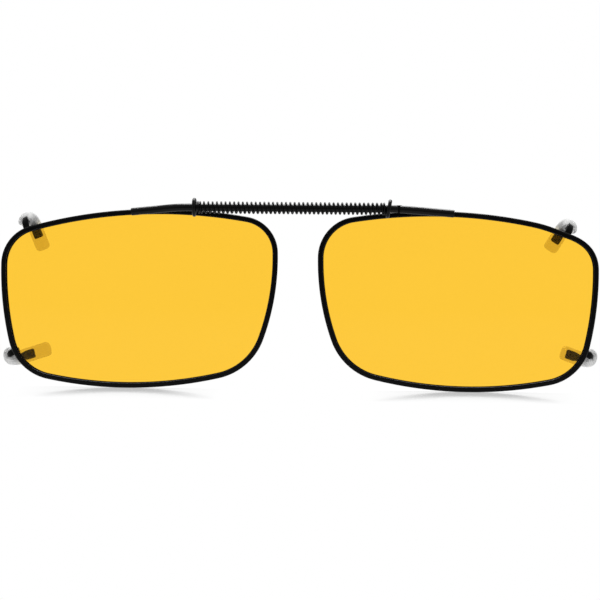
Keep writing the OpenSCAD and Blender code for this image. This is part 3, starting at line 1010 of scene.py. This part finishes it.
class CLIPON_OT_stops(Operator):
    """Makes the two wire rings that the spring pushes on, each with its seat on a rod's free end"""
    bl_idname = "clip_on.stops"
    bl_label = "Spring stops"

    ring_steps = 48
    wire_sides = 20
    seat_steps = 16
    seat_round = 0.1 * MM

    def execute(self, context):
        bridge = settings("bridge")
        wire_section = section_object("stop_section", disc(bridge.stop_wire / 2, self.wire_sides))
        for side in (LEFT, RIGHT):
            low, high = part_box(f"{side}_spring_stop")
            ring_radius = (high.z - low.z - bridge.stop_wire) / 2
            turns = [FULL_TURN * k / self.ring_steps for k in range(self.ring_steps)]
            ring = self.arc_path(side, ring_radius, turns, True)
            # The left stop sits on the right rod, the rear one, and the right stop on the front one
            middle = 0 if side == LEFT else math.pi
            seat_in = bridge.rod / 2 + bridge.braze_gap
            shares = [k / self.seat_steps - 0.5 for k in range(self.seat_steps + 1)]
            turns = [middle + bridge.stop_seat * k for k in shares]
            seat = self.arc_path(side, (ring_radius + seat_in) / 2, turns, False)
            seat_outline = bar(ring_radius - seat_in, bridge.stop_wire / 2, self.seat_round)
            seat_section = section_object("seat_section", seat_outline)
            mesh = sweep_both(joined_wires(), ring, wire_section, seat, seat_section, burnished_enamel())
            remove_lines(seat_section)
            place_piece(f"{side}_stop_ring", mesh, BODY[OTHER[side]], f"{side}_spring_stop")
        remove_lines(wire_section)
        return {"FINISHED"}

    def arc_path(self, side, radius, turns, closed):
        """A ring or an arc round the bridge's axis, in the stop's leaning plane."""
        low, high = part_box(f"{side}_spring_stop")
        centre = Vector(((low.x + high.x) / 2, *bridge_axis()))
        lean = math.tan(getattr(settings("bridge"), f"{side}_stop_tilt"))
        outs = [ray(turn) for turn in turns]
        points = [centre + radius * Vector((lean * out.y, out.x, out.y)) for out in outs]
        return line_object("stop_path", points, closed, [Vector((0, out.x, out.y)) for out in outs])


class CLIPON_OT_spring(Operator):
    """Winds the bridge spring at rest and fixes it to the left half, so it keeps its length, though the real
    one shortens towards its right end as the halves pull apart
    """
    bl_idname = "clip_on.spring"
    bl_label = "Bridge spring"

    points_per_turn = 24
    wire_sides = 12

    def execute(self, context):
        bridge = settings("bridge")
        low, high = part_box("bridge_spring")
        axis_y, axis_z = bridge_axis()
        wire = bridge.spring_wire / 2
        start, end = low.x + wire, high.x - wire
        seed = line_object("spring_seed", [(0, 0, 0), (MM, 0, 0)], False)
        mesh = grown(seed, wound_spring(), {
            "From": (start, axis_y, axis_z),
            "Length": end - start,
            "Turns": float(bridge.spring_turns),
            "Closed turns": bridge.closed_turns,
            "Closed pitch": bridge.closed_pitch,
            "Coil radius": bridge.spring / 2 - wire,
            "Wire radius": wire,
            "Points per turn": self.points_per_turn,
            "Wire sides": self.wire_sides,
            "Material": blackened_spring(),
        })
        coil = place_piece("spring_coil", mesh, BODY[LEFT], "bridge_spring")
        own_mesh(coil)
        return {"FINISHED"}


class HookLine:
    """Centre line of one hook: a stub behind the rim, a half turn round the bend and a finger."""

    def __init__(self, index):
        hook, rim = settings("hook"), settings("rim")
        row, self.side = HOOKS[index]
        self.hook = hook
        self.stub = hook.stubs[index] + hook.outs[index]
        self.strip_finger, self.finger = hook.strip_fingers[index], hook.fingers[index]
        self.cling = hook.clings[index]
        # The ways outwards and across in the lens plane, and what the skew makes of them
        self.out, self.across = ray(hook.aims[index]), ray(hook.aims[index] + math.pi / 2)
        skew = hook.skews[index]
        self.lean = math.sin(-skew if row == "upper" else skew)
        self.level = math.cos(skew)
        corner, radius = lens_corners(self.side)[0 if row == "upper" else 1]
        base = corner + (radius + rim.width / 2) * ray(hook.places[index])
        rim_back = vertex_y() + sag(base) + rim.depth / 2 + settings("bridge").braze_gap
        edge_back = hook.strip_width / 2 * math.sin(skew) + hook.strip_thickness / 2 * self.level
        self.depth = rim_back + edge_back + hook.bend * self.level
        self.centre = base + hook.outs[index] * self.out + hook.bend * self.lean * self.across

    def point(self, turn, past=0.0):
        """A point round the bend, or past either end of it, and the way its flat side faces."""
        bend = self.hook.bend
        outwards, backwards = math.sin(turn), -math.cos(turn)
        up = outwards * self.out + backwards * self.lean * self.across
        flat = self.centre + bend * up - past * self.out
        facing = Vector((-SIGN[self.side] * up.x, backwards * self.level, up.y)).normalized()
        return on_side(self.side, flat, self.depth + bend * backwards * self.level), facing

    def run(self, start_turn, stub, finger, steps=40, straight=16):
        """Points and facings from a stub or an angle round the bend to the end of a finger."""
        rows = [self.point(0, stub * (1 - k / straight)) for k in range(straight)] if stub else []
        rows += [self.point(start_turn + (math.pi - start_turn) * k / steps) for k in range(steps + 1)]
        rows += [self.point(math.pi, finger * (k + 1) / straight) for k in range(straight)]
        return [row[0] for row in rows], [row[1] for row in rows]

    def own_axes(self, place):
        """A point's shares: outwards of the bend, beside the strip's front and before the cling's end."""
        hook = self.hook
        flat = Vector((settings("outline").spacing / 2 - SIGN[self.side] * place.x, place.z)) - self.centre
        outwards, across = flat.dot(self.out), flat.dot(self.across)
        middle = -hook.bend * math.cos((hook.sleeve_start + self.cling) / 2) * self.lean
        forwards = (self.depth - place.y) * self.level - across * self.lean
        forwards -= hook.bend * math.cos(self.cling)
        return outwards / hook.bend, (across - middle) / hook.strip_width, forwards / hook.bend

    def mark(self, mesh):
        """Writes each vertex's place in the hook's own axes on a mesh, for its finish."""
        places = [number for vertex in mesh.vertices for number in self.own_axes(vertex.co)]
        mesh.attributes.new(HOOK_ATTRIBUTE, "FLOAT_VECTOR", "POINT").data.foreach_set("vector", places)


def distances(points):
    """Distance of each point from the first one, along the line."""
    marks = [0.0]
    for before, here in zip(points, points[1:]):
        marks.append(marks[-1] + (here - before).length)
    return marks


class CLIPON_OT_hooks(Operator):
    """Bends the four flat hook strips behind the rims"""
    bl_idname = "clip_on.hooks"
    bl_label = "Hooks"

    # Scale of a strip's section at its very ends, and the share of its finger over which it flares
    end_scale = 0.82
    flare_share = 0.5

    def execute(self, context):
        hook = settings("hook")
        outline = bar(hook.strip_thickness, hook.strip_width, hook.strip_round)
        section = section_object("strip_section", outline)
        for index, (row, side) in enumerate(HOOKS):
            line = HookLine(index)
            points, ups = line.run(0, line.stub, line.strip_finger)
            marks = distances(points)
            scales = [self.scale(mark, marks[-1], line.strip_finger) for mark in marks]
            mesh = sweep(line_object("strip_path", points, False, ups, scales), section, rubbed_enamel())
            line.mark(mesh)
            place_piece(f"{side}_{row}_strip", mesh, BODY[side], f"{side}_{row}_hook")
        remove_lines(section)
        return {"FINISHED"}

    def scale(self, mark, total, finger):
        """Scale of the strip's section: rounded at both ends and flared along the finger."""
        hook = settings("hook")
        ends = smooth_step(min(mark, total - mark) / hook.strip_round)
        flare = smooth_step((mark - (total - finger)) / (self.flare_share * finger))
        return (self.end_scale + (1 - self.end_scale) * ends) * (1 + (hook.strip_flare - 1) * flare)


class CLIPON_OT_sleeves(Operator):
    """Slips the four clear sleeves over the hooks, bored for the strip and closed at the tip"""
    bl_idname = "clip_on.sleeves"
    bl_label = "Sleeves"

    # Rounding of the bore as a share of its thickness, and the angle by which it starts before the sleeve
    bore_round = 0.45
    bore_lead = math.radians(6)
    # How much of its size the section loses at the mouth, and keeps at the very tip
    lip_loss = 0.1
    tip_scale = 0.45

    def execute(self, context):
        hook = settings("hook")
        outline = oval(hook.sleeve_thickness, hook.sleeve_width, hook.sleeve_square)
        sleeve_section = section_object("sleeve_section", outline)
        thickness = hook.strip_thickness - 2 * hook.bore_bite
        outline = bar(thickness, hook.strip_width + 2 * hook.bore_side, self.bore_round * thickness)
        bore_section = section_object("bore_section", outline)
        for index, (row, side) in enumerate(HOOKS):
            line = HookLine(index)
            points, ups = line.run(hook.sleeve_start, 0, line.finger, steps=48, straight=40)
            marks = distances(points)
            scales = [self.scale(mark, marks[-1]) for mark in marks]
            path = line_object("sleeve_path", points, False, ups, scales)
            bore_end = line.strip_finger + hook.bore_side / 2
            points, ups = line.run(hook.sleeve_start - self.bore_lead, 0, bore_end)
            bore = line_object("bore_path", points, False, ups)
            mesh = sweep_both(bored_sleeve(), path, sleeve_section, bore, bore_section, clear_vinyl())
            line.mark(mesh)
            place_piece(f"{side}_{row}_tube", mesh, BODY[side], f"{side}_{row}_sleeve")
        remove_lines(sleeve_section, bore_section)
        return {"FINISHED"}

    def scale(self, mark, total):
        """Scale of the sleeve's section: rounded at the mouth and at the tip."""
        hook = settings("hook")
        mouth = min(1, mark / hook.sleeve_lip)
        tip = min(1, (total - mark) / hook.sleeve_tip)
        lip = 1 - self.lip_loss * (1 - math.sqrt(1 - (1 - mouth) ** 2))
        return lip * (self.tip_scale + (1 - self.tip_scale) * math.sqrt(1 - (1 - tip) ** 2))


# Stage

def aimed(name, data, place, way, roll=0.0):
    """A camera or a lamp at a place, looking along a way."""
    made = linked(name, data)
    made.location = place
    made.rotation_mode = "QUATERNION"
    made.rotation_quaternion = way.to_track_quat("-Z", "Y") @ Quaternion((0, 0, 1), roll)
    return made


def seen_rays(light):
    """1 for what the camera sees, also through a clear piece, and 0 for what lights the pieces."""
    return light["Is Camera Ray"].at_least(light["Transmission Depth"]).at_most(1)


class CLIPON_OT_stage(Operator):
    """Sets the camera, the soft light and the white floor"""
    bl_idname = "clip_on.stage"
    bl_label = "Stage"

    clip_start = 0.01
    clip_end = 20
    key_place = Vector((0, 0.34, 0.56))
    key_size = 0.4
    # Strength of the studio's light, and how gloss sees it: brighter above, darker ahead and a little dimmer
    studio_light = 0.4
    gloss_over = 0.3
    gloss_ahead = 0.25
    gloss_dim = 0.05
    # Reach of the floor from the origin, and its gap under the pieces
    floor_reach = 4.0
    floor_gap = 0.02 * MM
    # Strength of the white floor's light, and how gloss sees it: dimmer, but brighter near the pieces
    floor_light = 0.7
    floor_dim = 0.6
    table_gloss = 0.45
    # The floor under the shadow: its grey, its glow for the camera and the roughness of its sheen
    shadow_grey = (0.25, 0.25, 0.25, 1)
    shadow_glow = 0.43
    sheen_roughness = 0.12
    # Half the depth over which the floor turns white behind the pieces
    behind_fade = 3 * MM

    def execute(self, context):
        scene = context.scene
        scene.view_settings.view_transform = "Standard"
        self.camera(scene)
        self.key_light()
        self.world(scene)
        self.floor()
        return {"FINISHED"}

    def camera(self, scene):
        """A camera at the photograph's viewing angle."""
        stage = settings("stage")
        lens = bpy.data.cameras.new("camera")
        lens.lens = lens.sensor_width * stage.distance / stage.view_width
        lens.clip_start, lens.clip_end = self.clip_start, self.clip_end
        turn, rise = stage.azimuth, stage.elevation
        back = Vector((math.sin(turn) * math.cos(rise), -math.cos(turn) * math.cos(rise), math.sin(rise)))
        target = Vector((stage.target_x, vertex_y(), stage.target_z))
        scene.camera = aimed("camera", lens, target + back * stage.distance, -back, stage.roll)

    def key_light(self):
        """One large soft lamp above and a little behind, so the shadow lies in front of the rims."""
        lamp = bpy.data.lights.new("key", "AREA")
        lamp.shape = "DISK"
        lamp.size = self.key_size
        lamp.energy = settings("stage").key_power
        aimed("key", lamp, self.key_place, -self.key_place)

    def world(self, scene):
        """White to the camera and through the lenses, and a soft studio for light and gloss."""
        world = bpy.data.worlds.new("studio")
        world.use_nodes = True
        world.node_tree.nodes.clear()
        wires = Wires(world.node_tree)
        light = wires.outputs("ShaderNodeLightPath")
        seen = seen_rays(light)
        way = wires.add("ShaderNodeTexCoord", output="Generated")
        parts = wires.outputs("ShaderNodeSeparateXYZ", {"Vector": way})
        over = parts["Z"].at_least(0)
        ahead = (parts["Y"] * -1).at_least(0)
        gloss = self.gloss_over * over - self.gloss_ahead * ahead - self.gloss_dim
        studio = self.studio_light + light["Is Glossy Ray"] * gloss
        strength = seen + (1 - seen) * studio
        sky = wires.add("ShaderNodeBackground", {"Color": WHITE, "Strength": strength})
        wires.node("ShaderNodeOutputWorld", {"Surface": sky})
        scene.world = world

    def floor(self):
        """A wide floor that keeps the shadow near the object and is plain white further out."""
        half, height = self.floor_reach, CAD_BOX[0].z - self.floor_gap
        mesh = bpy.data.meshes.new("floor")
        corners = [(x * half, y * half, height) for x, y in ((-1, -1), (1, -1), (1, 1), (-1, 1))]
        mesh.from_pydata(corners, [], [(0, 1, 2, 3)])
        mesh.materials.append(self.floor_material())
        linked("floor", mesh)

    def floor_material(self):
        """A grey that the shadow falls on, turning into plain white away from the shadow."""
        stage = settings("stage")
        material, wires = new_material("floor_white")
        light = wires.outputs("ShaderNodeLightPath")
        seen, gloss = seen_rays(light), light["Is Glossy Ray"]
        place = wires.add("ShaderNodeTexCoord", output="Object")
        parts = wires.outputs("ShaderNodeSeparateXYZ", {"Vector": place})
        x, y = parts["X"], parts["Y"]
        behind = (y + self.behind_fade) / (2 * self.behind_fade)
        ahead = (-1 * y - stage.shadow_front) / stage.shadow_fade
        off_middle = (x.math("ABSOLUTE") - stage.shadow_middle).math("ABSOLUTE")
        beside = (off_middle - stage.shadow_side) / stage.shadow_fade
        far = behind.at_least(ahead).at_least(beside).at_least(gloss).at_most(1)
        lit = wires.add("ShaderNodeBsdfDiffuse", {"Color": self.shadow_grey})
        glow = wires.add("ShaderNodeEmission", {"Color": WHITE, "Strength": self.shadow_glow * seen})
        sheen = wires.add("ShaderNodeBsdfGlossy", {"Color": WHITE, "Roughness": self.sheen_roughness})
        near = wires.add("ShaderNodeAddShader", {0: lit, 1: glow})
        near = wires.add("ShaderNodeAddShader", {0: near, 1: sheen})
        table = 1 - ((-1 * y - stage.table_front) / stage.table_fade).at_least(0).at_most(1)
        mirrored = gloss * (self.table_gloss * table - self.floor_dim)
        plain = seen + (1 - seen) * (self.floor_light + mirrored)
        white = wires.add("ShaderNodeEmission", {"Color": WHITE, "Strength": plain})
        show(wires, mixed(wires, far, near, white))
        return material


OPERATORS = (
    CLIPON_OT_stage,
    CLIPON_OT_rims,
    CLIPON_OT_lenses,
    CLIPON_OT_rods,
    CLIPON_OT_stops,
    CLIPON_OT_spring,
    CLIPON_OT_hooks,
    CLIPON_OT_sleeves,
)
GROUPS = {
    "outline": OutlineSettings,
    "rim": RimSettings,
    "bridge": BridgeSettings,
    "hook": HookSettings,
    "finish": FinishSettings,
    "stage": StageSettings,
}


class CLIPON_PT_panel(Panel):
    """Lists the pieces and their settings"""
    bl_label = "Clip-on lenses"
    bl_idname = "CLIPON_PT_panel"
    bl_space_type = "VIEW_3D"
    bl_region_type = "UI"
    bl_category = "Clip-on"

    def draw(self, context):
        for operator in OPERATORS:
            self.layout.operator(operator.bl_idname)
        for group, kind in GROUPS.items():
            box = self.layout.box()
            box.label(text=group.capitalize())
            for name in kind.__annotations__:
                box.prop(settings(group), name)


def register():
    """Registers the settings, the operators and the panel."""
    for group, kind in GROUPS.items():
        bpy.utils.register_class(kind)
        setattr(bpy.types.Scene, "clip_on_" + group, PointerProperty(type=kind))
    for kind in (*OPERATORS, CLIPON_PT_panel):
        bpy.utils.register_class(kind)


def unregister():
    """Takes them out again."""
    for kind in reversed((*OPERATORS, CLIPON_PT_panel)):
        bpy.utils.unregister_class(kind)
    for group, kind in GROUPS.items():
        delattr(bpy.types.Scene, "clip_on_" + group)
        bpy.utils.unregister_class(kind)


def main():
    """Makes the stage and all pieces."""
    register()
    for operator in OPERATORS:
        _, name = operator.bl_idname.split(".")
        getattr(bpy.ops.clip_on, name)()


if __name__ == "__main__":
    main()
